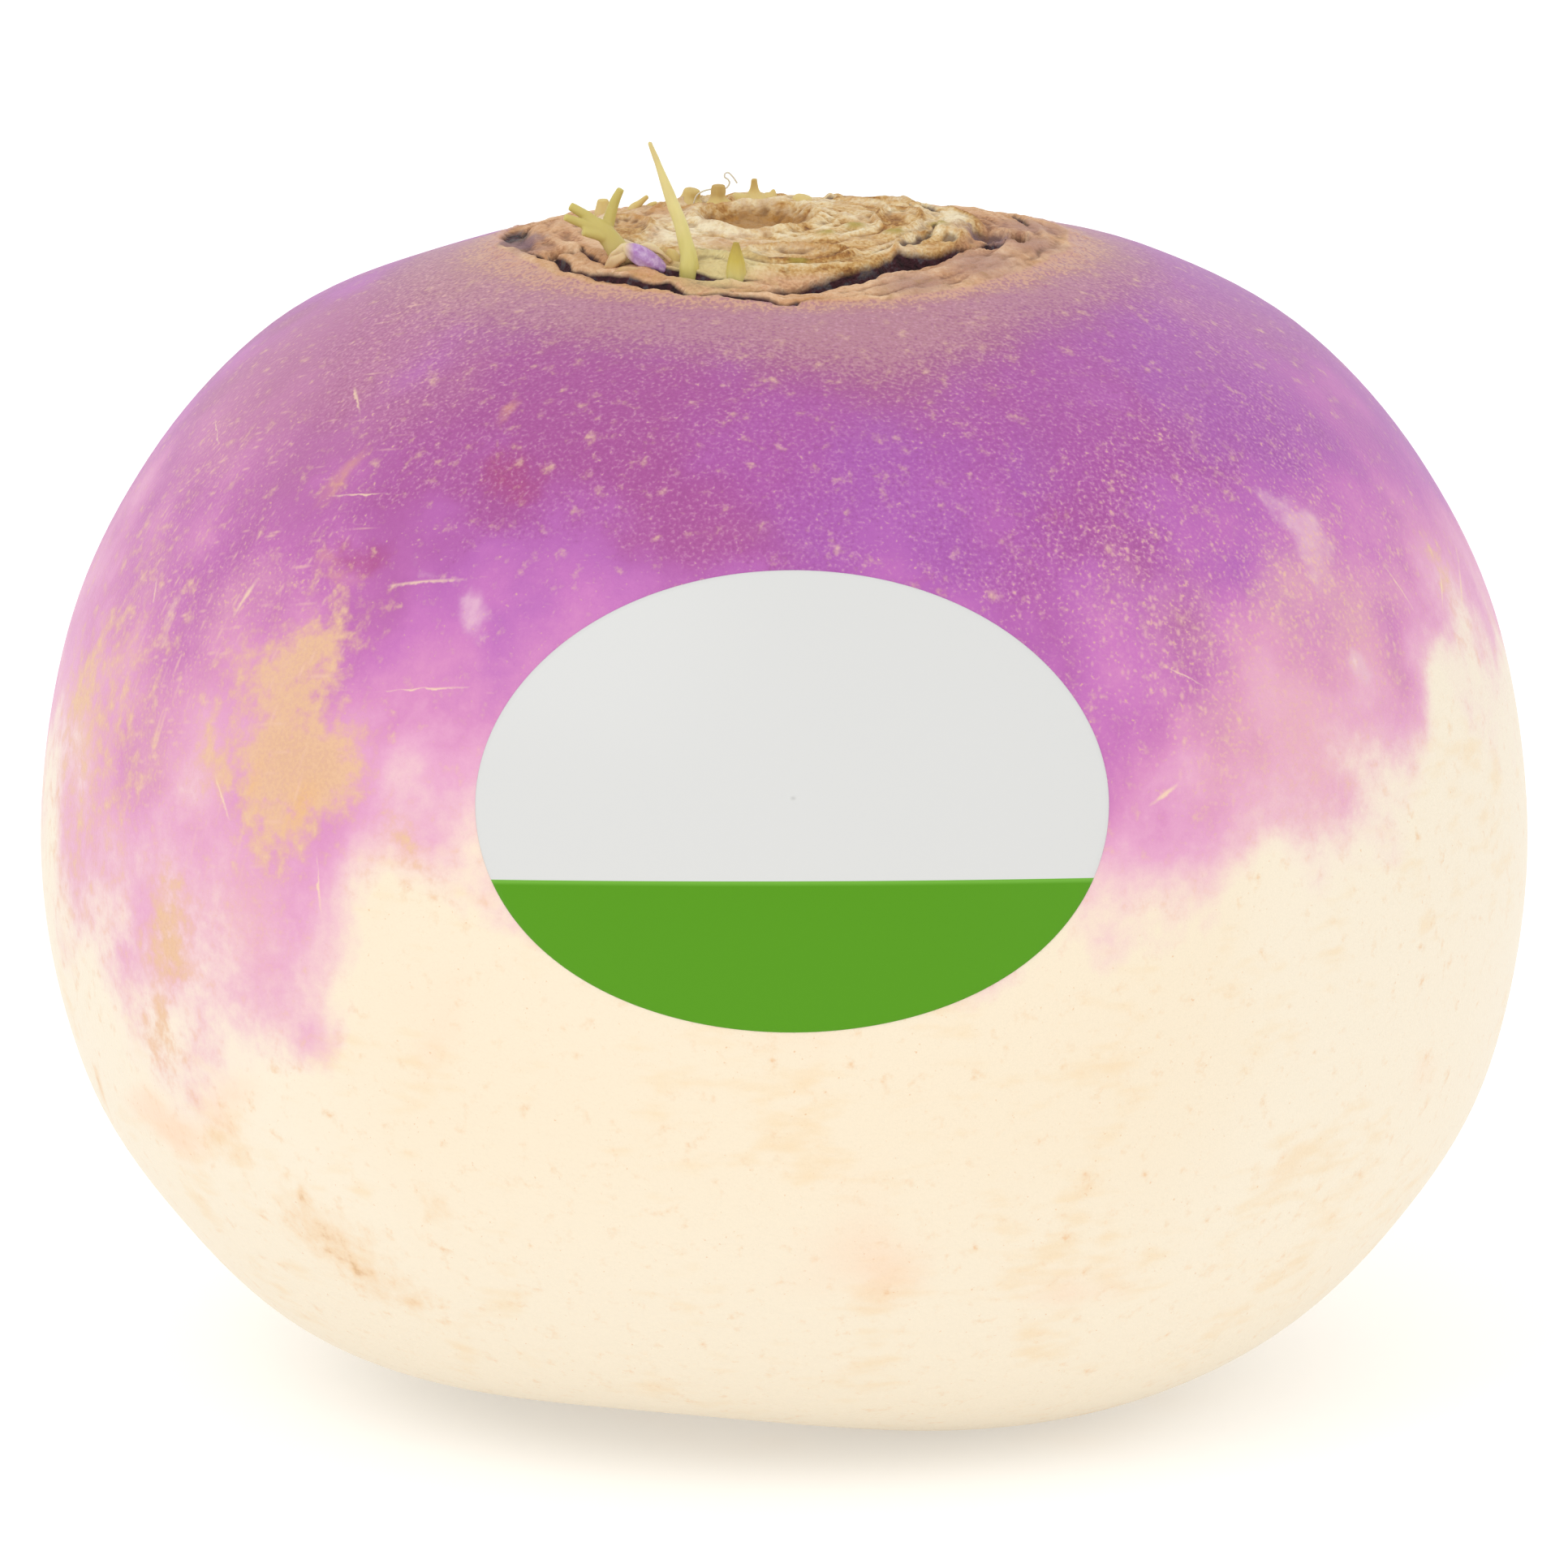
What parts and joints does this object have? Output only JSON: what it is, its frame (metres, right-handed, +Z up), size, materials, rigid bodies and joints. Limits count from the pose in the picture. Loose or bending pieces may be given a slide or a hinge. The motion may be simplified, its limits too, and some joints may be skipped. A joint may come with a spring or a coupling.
{
  "type": "turnip",
  "caption": "Swollen purple-topped white turnip root, trimmed at the taproot, with young shoots on its scarred crown and an oval film label on its front.",
  "frame": {"origin": "middle of the cut end of the taproot, on the surface that the turnip rests on", "axes": "+Z up through the crown, +X along the root's width, -Y towards the face that carries the label"},
  "size_m": [0.1, 0.0971, 0.0869],
  "materials": {
    "root_skin": "smooth waxy skin, purple above fading to cream below, corky tan crown",
    "young_shoot": "smooth moist yellow-green shoot",
    "forked_shoot": "smooth olive-yellow shoot",
    "lilac_bud": "smooth lilac bud",
    "green_bud": "smooth green bud",
    "label_film": "semi-gloss printed film, pale grey over a green band"
  },
  "bodies": {
    "root": {"turnip_root": "root_skin", "shoot_tall": "young_shoot", "shoot_forked": "forked_shoot", "bud_lilac": "lilac_bud", "bud_green": "green_bud", "label": "label_film"}
  },
  "joints": []
}
